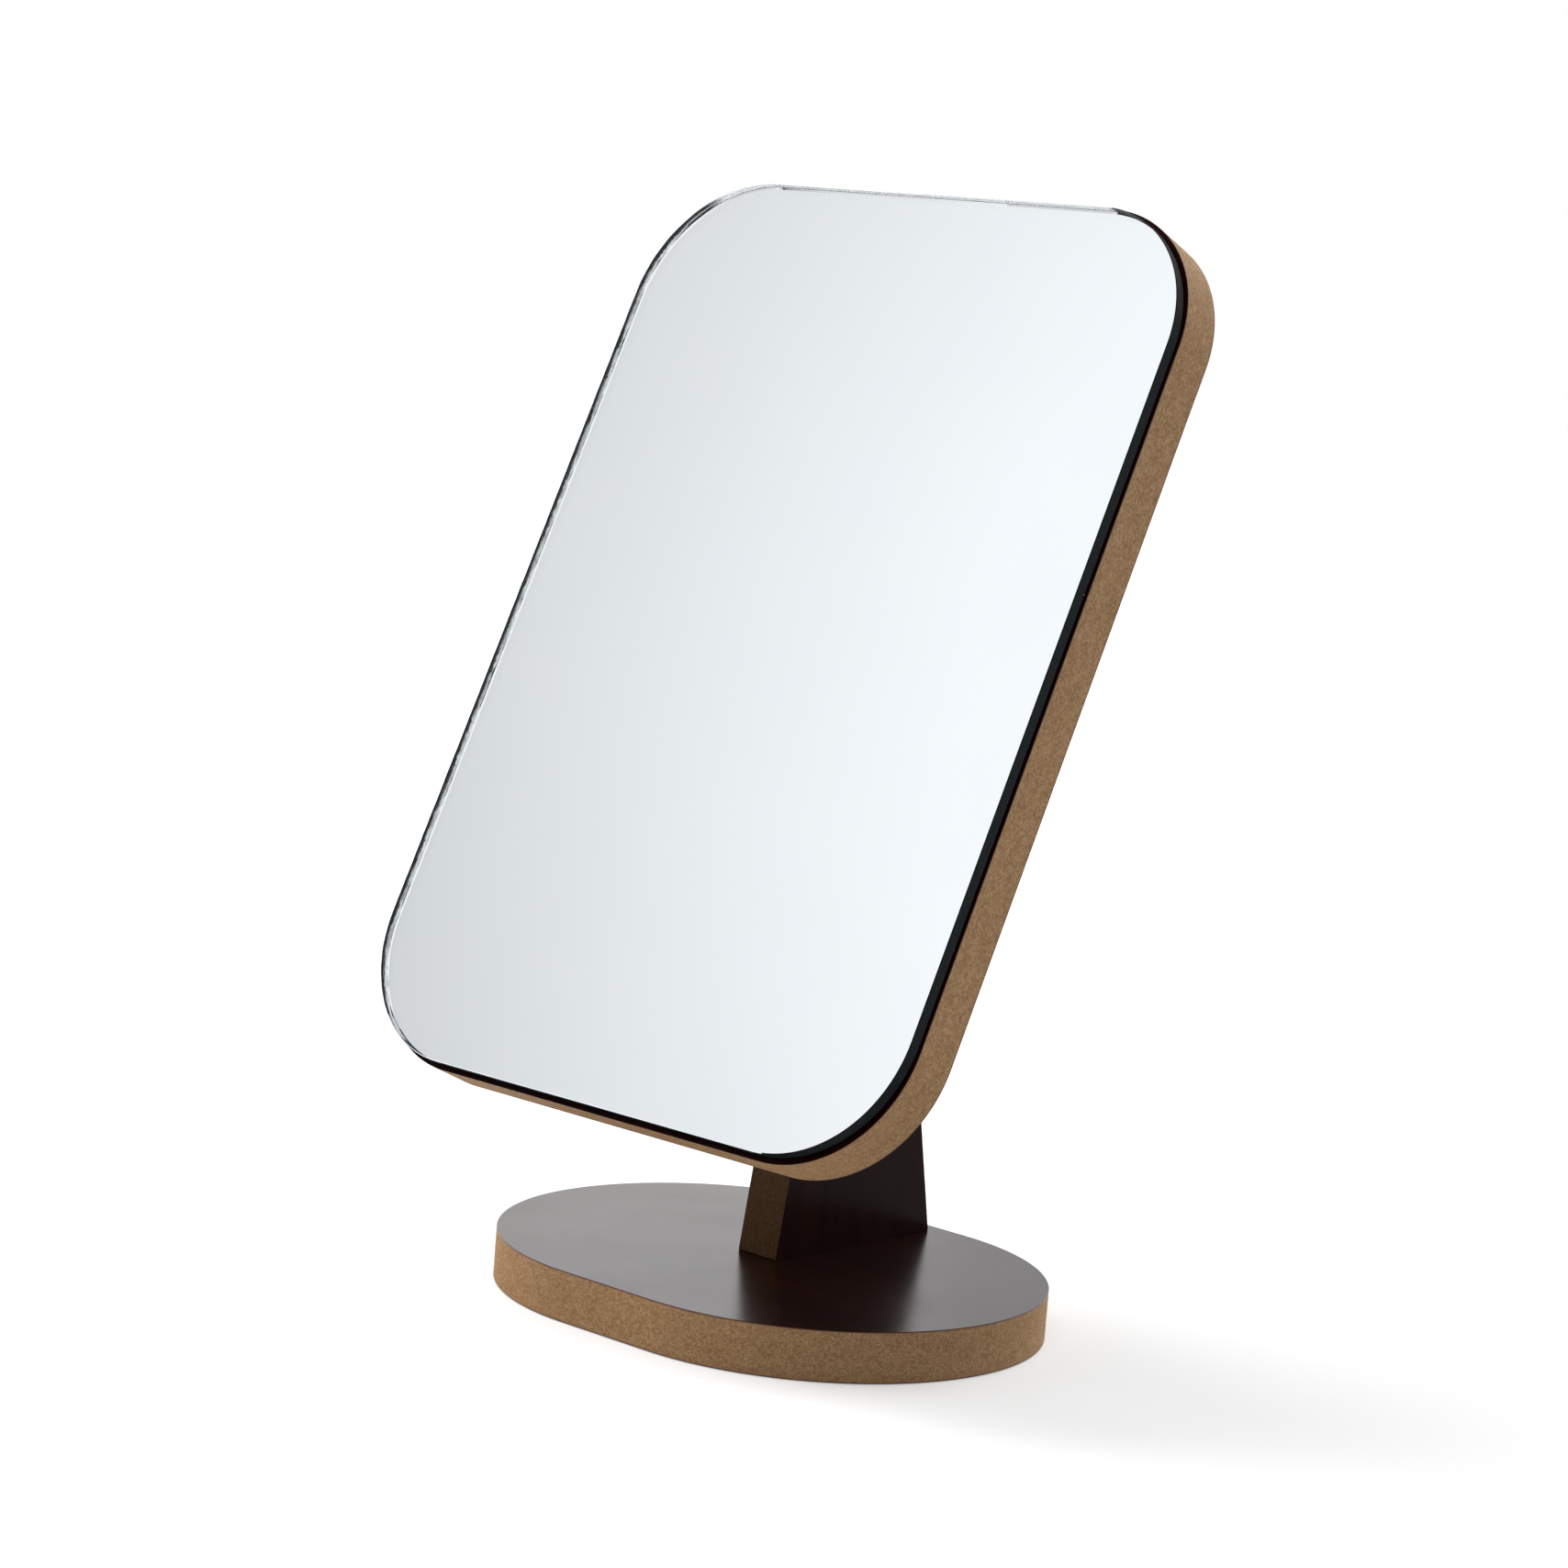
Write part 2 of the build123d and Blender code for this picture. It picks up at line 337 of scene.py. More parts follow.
# Dark reddish wood-print foil with a satin lacquer, its paper showing where it meets the core
def darkFoil(name, gloss):
    look = {"deep": (0.0120, 0.0026, 0.0019), "warm": (0.0185, 0.0042, 0.0030), "streak": (0.034, 0.0075, 0.0050),
            "cut": (0.105, 0.030, 0.020), "paper": (0.30, 0.165, 0.130), "tint": (0.12, 0.05, 0.04, 1),
            "bandScale": (9, 170, 60), "poreScale": (70, 2600, 300), "smearScale": 30,
            "faceAt": 0.00630, "cutAt": 0.00628, "paperFrom": 0.00620, "paperTo": 0.00612}
    material, tree, shader = newMaterial(name)
    coord = attributeOf(tree, "sheetCoord").outputs["Vector"]
    bands = noiseOf(tree, scaledCoord(tree, coord, look["bandScale"]), 1, 5, 0.62)
    pores = noiseOf(tree, scaledCoord(tree, coord, look["poreScale"]), 1, 2, 0.5)
    smears = noiseOf(tree, coord, look["smearScale"], 3, 0.6)
    grain = rampOf(tree, bands, [(0.34, look["deep"]), (0.56, look["warm"]), (0.80, look["streak"])])
    poreMask = rangeOf(tree, pores, 0.56, 0.68, 0, 0.35, True)
    grain = mixColour(tree, poreMask, grain, look["deep"])
    fromMiddle = distanceFromMiddle(tree, coord)
    cutMask = rangeOf(tree, fromMiddle, look["faceAt"], look["cutAt"], 0, 1)
    grain = mixColour(tree, cutMask, grain, look["cut"])
    paperMask = rangeOf(tree, fromMiddle, look["paperFrom"], look["paperTo"], 0, 0.9, True)
    grain = mixColour(tree, paperMask, grain, look["paper"])
    tree.links.new(grain, shader.inputs["Base Color"])
    satin = rangeOf(tree, smears, 0.3, 0.7, 0.19, 0.24)
    satin = mathOf(tree, "ADD", satin, mathOf(tree, "MULTIPLY", pores, 0.03))
    tree.links.new(satin, shader.inputs["Roughness"])
    setSockets(shader, {"IOR": gloss, "Specular Tint": look["tint"]})
    bumpFrom(tree, shader, pores, 0.03, 0.00003)
    return material


glassIndex = 1.52


# Clear float glass with the faintest smears
def clearGlass():
    look = {"faint": (0.985, 1.0, 0.995), "clean": (0.995, 1.0, 1.0), "tint": (0.35, 0.40, 0.50, 1), "smearScale": 42}
    material, tree, shader = newMaterial("clearGlass")
    smears = noiseOf(tree, objectCoord(tree), look["smearScale"], 4, 0.6)
    tree.links.new(rangeOf(tree, smears, 0.66, 0.86, 0, 0.02, True), shader.inputs["Roughness"])
    tree.links.new(rampOf(tree, smears, [(0.3, look["faint"]), (0.8, look["clean"])]), shader.inputs["Base Color"])
    setSockets(shader, {"IOR": glassIndex, "Transmission Weight": 1.0, "Specular Tint": look["tint"]})
    return material


# Ground rim of the glass: green, darkened near black as painted shade for the light it traps and the dark it reflects,
# with grinding streaks and tiny bright grains, letting light in where clearShare is high
def groundRim():
    look = {"deep": (0.0018, 0.0036, 0.0038), "shadedGreen": (0.0058, 0.0105, 0.0108), "grain": (0.050, 0.090, 0.086),
            "clear": (0.96, 0.98, 0.98), "streakScale": 2400, "grainScale": 3200, "clearFrom": 0.7}
    material, tree, shader = newMaterial("groundRim")
    coord = attributeOf(tree, "sheetCoord").outputs["Vector"]
    streaks = noiseOf(tree, scaledCoord(tree, coord, (0.15, 1.0, 1.0)), look["streakScale"], 3, 0.6)
    grains = noiseOf(tree, coord, look["grainScale"], 2, 0.5)
    # painted shade: the rim's near-black green tones
    tone = rampOf(tree, streaks, [(0.38, look["deep"]), (0.64, look["shadedGreen"])])
    grainMask = rangeOf(tree, grains, 0.60, 0.72, 0, 0.8, True)
    clearShare = attributeOf(tree, "clearShare").outputs["Fac"]
    clear = rangeOf(tree, clearShare, look["clearFrom"], 1.0, 0, 1, True)
    tone = mixColour(tree, grainMask, tone, look["grain"])
    tree.links.new(mixColour(tree, clear, tone, look["clear"]), shader.inputs["Base Color"])
    tree.links.new(clear, shader.inputs["Transmission Weight"])
    tree.links.new(rangeOf(tree, streaks, 0.3, 0.7, 0.32, 0.5), shader.inputs["Roughness"])
    setSockets(shader, {"IOR": glassIndex, "Specular IOR Level": 0.05})
    bumpFrom(tree, shader, grains, 0.25, 0.00006)
    return material


# Silver seen through the glass: bright, but eaten and frosted where the rim is worn
def silverFilm():
    look = {"bright": (0.925, 0.955, 0.988), "veil": (0.915, 0.946, 0.980), "line": (0.30, 0.31, 0.33),
            "eaten": (0.020, 0.022, 0.026), "frostDark": (0.70, 0.725, 0.745), "frost": (0.82, 0.85, 0.87),
            "fleck": (0.98, 0.985, 0.99), "raggedScale": 900, "fleckScale": 2300, "breakScale": 600, "waveScale": 600,
            "cloudScale": 26, "lineHalf": 0.14, "rimReach": 0.35, "biteLow": -0.10, "biteHigh": 0.30}
    material, tree, shader = newMaterial("silverFilm")
    coord = attributeOf(tree, "sheetCoord").outputs["Vector"]
    gap = attributeOf(tree, "edgeGap").outputs["Fac"]
    worn = attributeOf(tree, "wornWidth").outputs["Fac"]
    ragged = noiseOf(tree, scaledCoord(tree, coord, (0.3, 1, 1)), look["raggedScale"], 3, 0.6)
    flecks = noiseOf(tree, scaledCoord(tree, coord, (0.22, 1, 1)), look["fleckScale"], 2, 0.6)
    breaks = noiseOf(tree, scaledCoord(tree, coord, (0.25, 0.8, 0)), look["breakScale"], 2, 0.6)
    waves = noiseOf(tree, scaledCoord(tree, coord, (0.45, 0.2, 0)), look["waveScale"], 3, 0.65)
    cloud = noiseOf(tree, objectCoord(tree), look["cloudScale"], 3, 0.5)
    limit = mathOf(tree, "MULTIPLY", worn, rangeOf(tree, ragged, 0.3, 0.7, 0.75, 1.15))
    past = mathOf(tree, "SUBTRACT", gap, limit)
    keep = rangeOf(tree, past, -0.25, 0.10, 0, 1, True)
    # a broken grey line where the frost ends
    fromLine = mathOf(tree, "ABSOLUTE", past)
    lineMask = mathOf(tree, "MULTIPLY", rangeOf(tree, fromLine, look["lineHalf"], 0.03, 0, 1, True),
                      rangeOf(tree, breaks, 0.46, 0.66, 0, 0.5, True))
    lineMask = mathOf(tree, "MULTIPLY", lineMask, rangeOf(tree, worn, 0.1, 0.3, 0, 1, True))
    film = rampOf(tree, cloud, [(0.35, look["veil"]), (0.65, look["bright"])])
    frost = rampOf(tree, flecks, [(0.34, look["frostDark"]), (0.55, look["frost"]), (0.74, look["fleck"])])
    # white flecks along the rim itself
    nearRim = mathOf(tree, "SUBTRACT", gap, rangeOf(tree, flecks, 0.3, 0.7, 0.0, 0.5))
    nearRim = mathOf(tree, "MULTIPLY", rangeOf(tree, nearRim, look["rimReach"], 0.05, 0, 0.95, True),
                     rangeOf(tree, breaks, 0.44, 0.56, 0, 1, True))
    frost = mixColour(tree, nearRim, frost, look["fleck"])
    surface = mixColour(tree, keep, frost, film)
    surface = mixColour(tree, lineMask, surface, look["line"])
    # dark bites out of the silver where the rim is most worn
    bite = mathOf(tree, "MULTIPLY", rangeOf(tree, waves, 0.45, 0.75, look["biteLow"], look["biteHigh"]),
                  rangeOf(tree, worn, 0.7, 1.3, 0, 1, True))
    eaten = rangeOf(tree, mathOf(tree, "SUBTRACT", gap, bite), 0.03, -0.03, 0, 1, True)
    tree.links.new(mixColour(tree, eaten, surface, look["eaten"]), shader.inputs["Base Color"])
    frosted = rangeOf(tree, past, -0.7, 0.1, 0.5, 0.0, True)
    patchy = rangeOf(tree, breaks, 0.40, 0.60, 0.25, 1.0, True)
    tree.links.new(mathOf(tree, "MULTIPLY", frosted, patchy), shader.inputs["Roughness"])
    setSockets(shader, {"Metallic": 1.0})
    return material


# Mottled tone and roughness from one noise
def mottled(tree, shader, level, dark, light, roughLow, roughHigh):
    tree.links.new(rampOf(tree, level, [(0.3, dark), (0.7, light)]), shader.inputs["Base Color"])
    tree.links.new(rangeOf(tree, level, 0.3, 0.7, roughLow, roughHigh), shader.inputs["Roughness"])


# Grey protective paint on the back of the silver
def backPaint():
    material, tree, shader = newMaterial("backPaint")
    orangePeel = noiseOf(tree, objectCoord(tree), 420, 3, 0.5)
    mottled(tree, shader, orangePeel, (0.10, 0.105, 0.115), (0.15, 0.155, 0.165), 0.45, 0.6)
    bumpFrom(tree, shader, orangePeel, 0.2, 0.0001)
    return material


# Black foam of the mounting tape, open cells on its cut sides
def tapeFoam():
    material, tree, shader = newMaterial("tapeFoam")
    coord = objectCoord(tree)
    cells = tree.nodes.new("ShaderNodeTexVoronoi")
    cells.inputs["Scale"].default_value = 2600
    tree.links.new(coord, cells.inputs["Vector"])
    cloud = noiseOf(tree, coord, 300, 3, 0.6)
    mottled(tree, shader, cloud, (0.012, 0.012, 0.013), (0.030, 0.030, 0.031), 0.8, 0.95)
    bumpFrom(tree, shader, cells.outputs["Distance"], 0.6, 0.0002)
    return material


# Plated steel with a patchy patina and fine scratches
def platedSteel(name, dull, bright, roughLow, roughHigh):
    material, tree, shader = newMaterial(name)
    coord = objectCoord(tree)
    patina = noiseOf(tree, coord, 260, 4, 0.6)
    scratches = noiseOf(tree, scaledCoord(tree, coord, (4000, 500, 300)), 1, 2, 0.5)
    tree.links.new(rampOf(tree, patina, [(0.3, dull), (0.7, bright)]), shader.inputs["Base Color"])
    tree.links.new(rangeOf(tree, scratches, 0.3, 0.7, roughLow, roughHigh), shader.inputs["Roughness"])
    setSockets(shader, {"Metallic": 1.0})
    bumpFrom(tree, shader, scratches, 0.12, 0.00004)
    return material


# Black vulcanised fibre of the washers
def blackFibre():
    material, tree, shader = newMaterial("blackFibre")
    felt = noiseOf(tree, scaledCoord(tree, objectCoord(tree), (3, 1, 1)), 1500, 4, 0.65)
    mottled(tree, shader, felt, (0.010, 0.010, 0.011), (0.035, 0.034, 0.033), 0.6, 0.85)
    bumpFrom(tree, shader, felt, 0.4, 0.0001)
    return material


fibreboardLook = rawFibreboard("rawFibreboard", 0)
stemShadedEdgeLook = rawFibreboard("shadedFibreboard", 0.88)  # painted shade: the stem's edges are darkened all over for the shade under the board
foilLook = darkFoil("darkFoil", 1.17)
baseFoilLook = darkFoil("baseFoil", 1.48)  # glossier lacquer on the base
glassLook = clearGlass()
rimLook = groundRim()
silverLook = silverFilm()
paintLook = backPaint()
foamLook = tapeFoam()
zincLook = platedSteel("yellowZinc", (0.50, 0.42, 0.24), (0.68, 0.60, 0.40), 0.22, 0.4)
nickelLook = platedSteel("brightNickel", (0.42, 0.405, 0.375), (0.55, 0.53, 0.495), 0.16, 0.3)
fibreLook = blackFibre()
print("materials ready,", len(bpy.data.materials))


# One layer cut from the sheet: rows are (depth, inset, fuzz) from its first face to its last
def cutLayer(plane, outline, rows, holes, grainUp, wornSide):
    shape = newShape()

    def ringAt(points, depth):
        places, coords = [], []
        for u, v in points:
            places.append(spot(plane, u, v, depth))
            along, across = (v, u) if grainUp else (u, v)
            coords.append((along * mm, across * mm, (depth - sheetThickness / 2) * mm))
        return addRing(shape, places, coords)

    rings = []
    for depth, inset, fuzz in rows:
        points = []
        for u, v, nu, nv in outline:
            layer = depth * sheet["layering"]
            fibres = ripple(u, v, layer, sheet["longFibre"])
            fibres += sheet["shortShare"] * ripple(u, v, layer, sheet["shortFibre"], seeds["shortFibre"])
            move = fuzz * fibres - inset
            if wornSide == depth:  # small nicks along the worn edge of a foil
                bite = ripple(u, v, 0, sheet["nickLength"], seeds["foilNick"]) - sheet["nickFrom"]
                move -= sheet["nick"] * max(0.0, bite)
                move -= sheet["wear"] * sheet["waveShare"] * ripple(u, v, 0, sheet["waveLength"], seeds["foilWave"])
            points.append((u + nu * move, v + nv * move))
        rings.append(ringAt(points, depth))
    bridge(shape, rings)
    firstHoles, lastHoles = [], []
    for hole in holes:
        hu, hv = hole["middle"]
        first, last = rows[0][0], rows[-1][0]
        depths = sorted({first, last, *(d for d in hole.get("breaks", ()) if first < d < last)})
        holeRings = [ringAt(circlePoints(hu, hv, hole["radius"](d), sheet["holeSides"]), d) for d in depths]
        bridge(shape, holeRings)
        firstHoles.append(holeRings[0])
        lastHoles.append(holeRings[-1])
    capOver(shape, [rings[0], *firstHoles])
    capOver(shape, [rings[-1], *lastHoles])
    return shape


# Foil, core and foil of one wooden piece
def cutSheet(names, plane, outline, holes, grainUp, body, facing, edge):
    foil, core, wear = sheet["foil"], sheet["core"], sheet["wear"]
    firstRows = [(0.0, wear, 0.0), (wear, 0.0, 0.0), (foil, 0.0, 0.0)]
    lastRows = [(foil + core, 0.0, 0.0), (sheetThickness - wear, 0.0, 0.0), (sheetThickness, wear, 0.0)]
    coreRows = [(foil + core * k / sheet["coreRows"], 0.0, sheet["fuzz"]) for k in range(sheet["coreRows"] + 1)]
    for name, rows, worn, look, slotName in (
        (names[0], firstRows, 0.0, facing, "wood_foil"),
        (names[1], coreRows, None, edge, "raw_mdf"),
        (names[2], lastRows, sheetThickness, facing, "wood_foil"),
    ):
        shape = cutLayer(plane, outline, rows, holes, grainUp, worn)
        makePiece(name + "_piece", shape, [look], body, name)


screw = {"shank": 1.75, "root": 1.2, "head": 3.75, "clearance": 0.05, "pitch": 1.6, "sides": 28, "rowsPerTurn": 8,
         "crossHalf": 2.05, "crossWide": 0.55, "crossDeep": 1.7, "crossStep": 0.6, "crossTaper": 0.8,
         "crossFloor": 0.35, "rim": 0.15, "rimTop": 0.4, "rimLoss": 0.03, "neck": 2.0, "crest": 4, "threadFade": 1.2,
         "tip": 4.0, "tipEnd": 0.06, "inStem": 40.0, "inEar": 32.0}
hair = 0.01  # keeps a thread off the last ring of its plain neck
screwHole = screw["shank"] + screw["clearance"]
screwSeat = screw["head"] + screw["clearance"]


def seatedHole(middle, headFace, inward):
    depths = (headFace, headFace + inward * (screwSeat - screwHole))
    return {"middle": middle, "breaks": depths,
            "radius": lambda depth: max(screwHole, screwSeat - abs(depth - headFace))}


# Base: an oval with straight front and back, screwed to the stem from below
base = {"endRadius": 58.4, "straight": 29.2, "screwMiddle": 24.45, "screwSpacing": 34.0}
baseEnds = [(-base["straight"] / 2, 0, base["endRadius"]), (base["straight"] / 2, 0, base["endRadius"])]
baseScrewYs = [base["screwMiddle"] + side * base["screwSpacing"] / 2 for side in (-1, 1)]
baseHoles = [seatedHole((0, y), 0.0, 1) for y in baseScrewYs]
cutSheet(("base_bottom_foil", "base_core", "base_top_foil"), basePlane, outlineRound(baseEnds, sheet["wallStep"]),
         baseHoles, False, "stand", baseFoilLook, fibreboardLook)
print("base cut")


# A tongue: straight foot with softened corners, sides that close round the head
def tongueOutline(footA, footB, inward, head, headRadius):
    soften = sheet["soften"]
    (ua, va), (ub, vb) = footA, footB
    length = math.hypot(ub - ua, vb - va)
    du, dv = (ub - ua) / length * soften, (vb - va) / length * soften
    iu, iv = inward[0] * soften, inward[1] * soften
    circles = [(ua + du + iu, va + dv + iv, soften), (ub - du + iu, vb - dv + iv, soften), (*head, headRadius)]
    return outlineRound(circles, sheet["wallStep"])


def pivotHole(middle):
    return {"middle": middle, "radius": lambda depth: pivot["hole"]}


# Stem: foot on the base, rounded head at the pivot
stem = {"front": -5.0, "rear": 53.9, "headRadius": 10.0}
stemOutline = tongueOutline((stem["front"], sheetThickness), (stem["rear"], sheetThickness), (0, 1),
                            (pivot["y"], pivot["z"]), stem["headRadius"])
cutSheet(("stem_left_foil", "stem_core", "stem_right_foil"), stemPlane, stemOutline,
         [pivotHole((pivot["y"], pivot["z"]))], True, "stand", foilLook, stemShadedEdgeLook)
print("stem cut")

# Ear sizes come first, since the backboard is bored for the ears' screws
ears = {"inner": 7.1, "outer": 19.7, "footHalf": 30.0, "endRadius": 12.0}
earMiddle = (ears["inner"] + ears["outer"]) / 2

# Backboard: a rounded rectangle behind the glass
boardOutline = roundedRectangle(board["width"], board["height"], board["corner"], (0, board["centreUp"]),
                                sheet["wallStep"])
boardHoles = [seatedHole((side * earMiddle, 0), sheetThickness, -1) for side in (-1, 1)]
cutSheet(("board_rear_foil", "board_core", "board_front_foil"), boardPlane, boardOutline, boardHoles, True,
         "mirror", foilLook, fibreboardLook)
print("backboard cut")

# Ears: glued to the backboard, one on each side of the stem's head
earOutline = tongueOutline((ears["footHalf"], board["reach"]), (-ears["footHalf"], board["reach"]), (0, -1),
                           (0, 0), ears["endRadius"])
for firstFace, earNames in (
    (-ears["outer"], ("left_ear_outer_foil", "left_ear_core", "left_ear_inner_foil")),
    (ears["inner"], ("right_ear_inner_foil", "right_ear_core", "right_ear_outer_foil")),
):
    earPlane = drawingPlane(pivotPoint + alongX * firstFace, boardUp, boardFront, alongX)
    cutSheet(earNames, earPlane, earOutline, [pivotHole((0, 0))], False, "mirror", foilLook, fibreboardLook)
print("ears cut")

# Glass: a polished front arris, a ground rim, silvered behind
glass = {"width": 172.0, "height": 240.2, "corner": 33.6, "thickness": 3.0, "arris": 0.22, "arrisWorn": 0.5,
         "backArris": 0.04, "step": 0.4, "backLift": 0.02, "silverBand": 4.0, "wallRows": 5, "grind": 0.02,
         "grindLength": 0.8, "darkFrom": 0.1, "sharp": 6}
coating = {"thickness": 0.1, "inset": 0.4, "step": 1.0, "shoulder": 0.4, "frontEdge": 0.02, "backEdge": 0.05}
tape = {"thickness": 1.0, "width": 12.0, "count": 4, "sideMargin": 7.0, "endMargin": 28.0, "bulge": 0.12,
        "corner": 0.4, "step": 2.0, "rows": (0, 0.12, 0.3, 0.5, 0.7, 0.88, 1)}
frontSlot, rimSlot, silverSlot = 0, 1, 2
tapePlane = drawingPlane(boardPlane["origin"] + boardFront * sheetThickness, alongX, boardUp, boardFront)
coatingPlane = drawingPlane(tapePlane["origin"] + boardFront * tape["thickness"], alongX, boardUp, boardFront)
glassPlane = drawingPlane(coatingPlane["origin"] + boardFront * coating["thickness"], alongX, boardUp, boardFront)

# Wear of the glass rim: where it starts and fades round the outline, and how deep it goes in mm
rimWear = {"leftFrom": 0.15, "leftFade": 0.5, "leftLow": 0.88, "leftLowFade": 0.3, "leftWidth": 1.6,
           "topFrom": 0.45, "topFade": 0.45, "topEnd": 0.28, "topEndFade": 0.25, "topWidth": 0.6,
           "spotFrom": 40, "spotRise": 12, "spotTo": 76, "spotFall": 14,
           "nickMean": 0.9, "nickDeep": 0.3, "nickLength": 3.2,
           "wide": 1.2, "wideLong": 0.6, "wideShort": 0.3, "wideLeast": 0.25, "wideMost": 1.8,
           "slope": 0.20, "slopeWave": 0.12, "slopeLeast": 0.13, "longWave": 7.0, "shortWave": 1.7}


def clamped(value):
    return max(0.0, min(1.0, value))


# Shares of wear by the way that the rim faces: 1 on the left or at the top, 0 right and below
def leftWear(nu, nv):
    leftward = clamped((rimWear["leftFrom"] - nu) / rimWear["leftFade"])
    return leftward * clamped((nv + rimWear["leftLow"]) / rimWear["leftLowFade"])


def topWear(nu, nv):
    upward = clamped((nv - rimWear["topFrom"]) / rimWear["topFade"])
    return upward * clamped((rimWear["topEnd"] - nu) / rimWear["topEndFade"])


# How far the silver is frosted in from the rim: most on the left, less at the top, none right and below
def wornWidth(nu, nv):
    top = topWear(nu, nv)
    return leftWear(nu, nv) * (1 - top) * rimWear["leftWidth"] + top * rimWear["topWidth"]


# Where the rim lets light in: along the top, and at a reground spot on the lower left corner
def clearRim(nu, nv):
    turn = math.degrees(math.atan2(-nv, -nu))
    rise = clamped((turn - rimWear["spotFrom"]) / rimWear["spotRise"])
    fall = clamped((rimWear["spotTo"] - turn) / rimWear["spotFall"])
    return max(topWear(nu, nv), rise * fall)


# The uneven back bevel of the left rim, its width and height in mm
def backBevel(u, v, nu, nv):
    wear = leftWear(nu, nv) * (1 - topWear(nu, nv))
    wide = rimWear["wide"] + rimWear["wideLong"] * ripple(u, v, 0, rimWear["longWave"], seeds["bevelLong"])
    wide += rimWear["wideShort"] * ripple(u, v, 0, rimWear["shortWave"], seeds["bevelShort"])
    slope = rimWear["slope"] + rimWear["slopeWave"] * ripple(u, v, 0, rimWear["shortWave"], seeds["bevelSlope"])
    width = glass["backArris"] + wear * max(rimWear["wideLeast"], min(rimWear["wideMost"], wide))
    return width, glass["backArris"] + (width - glass["backArris"]) * max(rimWear["slopeLeast"], slope)


# Rings run from the silvered back over the bevel, the ground wall and the arris to the front face
def glassPane():
    shape = newShape()
    outline = roundedRectangle(glass["width"], glass["height"], glass["corner"], (0, board["centreUp"]),
                               glass["step"])
    worn = [wornWidth(nu, nv) for u, v, nu, nv in outline]
    clear = [clearRim(nu, nv) for u, v, nu, nv in outline]
    arris = []
    for u, v, nu, nv in outline:
        nicks = rimWear["nickMean"] + rimWear["nickDeep"] * ripple(u, v, 0, rimWear["nickLength"], seeds["rimNick"])
        share = max(leftWear(nu, nv) * clamped(nicks), topWear(nu, nv))
        arris.append(glass["arris"] + (glass["arrisWorn"] - glass["arris"]) * share)
    around = [0.0]
    for here, there in zip(outline, outline[1:]):
        around.append(around[-1] + math.dist(here[:2], there[:2]))
    thickness, band = glass["thickness"], glass["silverBand"]
    bevels = [backBevel(*point) for point in outline]
    bevelWidths = [width for width, height in bevels]

    def ring(depths, insets, gaps):
        places, coords = [], []
        for (u, v, nu, nv), length, depth, inset in zip(outline, around, depths, insets):
            places.append(spot(glassPlane, u - nu * inset, v - nv * inset, depth))
            coords.append((length * mm, inset * mm, depth * mm))
        return addRing(shape, places, coords, gaps, worn, clear)

    count = len(outline)
    none, back = [0.0] * count, [glass["backLift"]] * count
    backInner = ring(back, [band] * count, [band] * count)
    backEdge = ring(back, bevelWidths, bevelWidths)
    wall = []
    for k in range(glass["wallRows"]):
        share = k / (glass["wallRows"] - 1)
        depths = [(1 - share) * height + share * (thickness - a) for (width, height), a in zip(bevels, arris)]
        insets = []
        for u, v, nu, nv in outline:  # the top is ground smooth
            uneven = (1 - topWear(nu, nv)) * ripple(u, v, k, glass["grindLength"], seeds["rimGrind"])
            insets.append(glass["grind"] * (1 + uneven))
        wall.append(ring(depths, insets, none))
    frontEdge = ring([thickness] * count, arris, none)
    capOver(shape, [backInner], silverSlot)
    bridge(shape, [backInner, backEdge, wall[0]], silverSlot)
    bridge(shape, wall, rimSlot)
    arrisStart = len(shape["slots"])
    bridge(shape, [wall[-1], frontEdge], frontSlot)
    for k, (u, v, nu, nv) in enumerate(outline):  # the right side's arris is ground too, and takes the rim's painted shade
        if nu > glass["darkFrom"]:
            shape["slots"][arrisStart + k] = rimSlot
    capOver(shape, [frontEdge], frontSlot)
    return shape


makePiece("mirror_glass_piece", glassPane(), [glassLook, rimLook, silverLook], "mirror", "mirror_glass",
          glass["sharp"])


# Flat layers behind the glass: the painted coating and four strips of foam tape
def addSlab(shape, plane, outline, rows):
    rings = []
    for depth, inset in rows:
        points = [(u - nu * inset, v - nv * inset) for u, v, nu, nv in outline]
        rings.append(flatRing(shape, plane, points, depth))
    bridge(shape, rings)
    capOver(shape, [rings[0]])
    capOver(shape, [rings[-1]])


coatingFilm = newShape()
coatingOutline = roundedRectangle(glass["width"] - 2 * coating["inset"], glass["height"] - 2 * coating["inset"],
                                  glass["corner"], (0, board["centreUp"]), coating["step"])
addSlab(coatingFilm, coatingPlane, coatingOutline,
        [(0.0, coating["backEdge"]), (coating["thickness"] * coating["shoulder"], 0.0),
         (coating["thickness"], coating["frontEdge"])])
makePiece("mirror_coating_piece", coatingFilm, [paintLook], "mirror", "mirror_coating")

tapeStrips = newShape()
tapePitch = (glass["width"] - 2 * tape["sideMargin"] - tape["width"]) / (tape["count"] - 1)
for k in range(tape["count"]):
    stripMiddle = (tapePitch * (k - (tape["count"] - 1) / 2), board["centreUp"])
    stripOutline = roundedRectangle(tape["width"] - 2 * tape["bulge"],
                                    glass["height"] - 2 * tape["endMargin"] - 2 * tape["bulge"], tape["corner"],
                                    stripMiddle, tape["step"])
    swell = [(tape["thickness"] * part, -tape["bulge"] * math.sin(math.pi * part)) for part in tape["rows"]]
    addSlab(tapeStrips, tapePlane, stripOutline, swell)
makePiece("mounting_tape_piece", tapeStrips, [foamLook], "mirror", "mounting_tape")
print("glass, coating and tape laid")


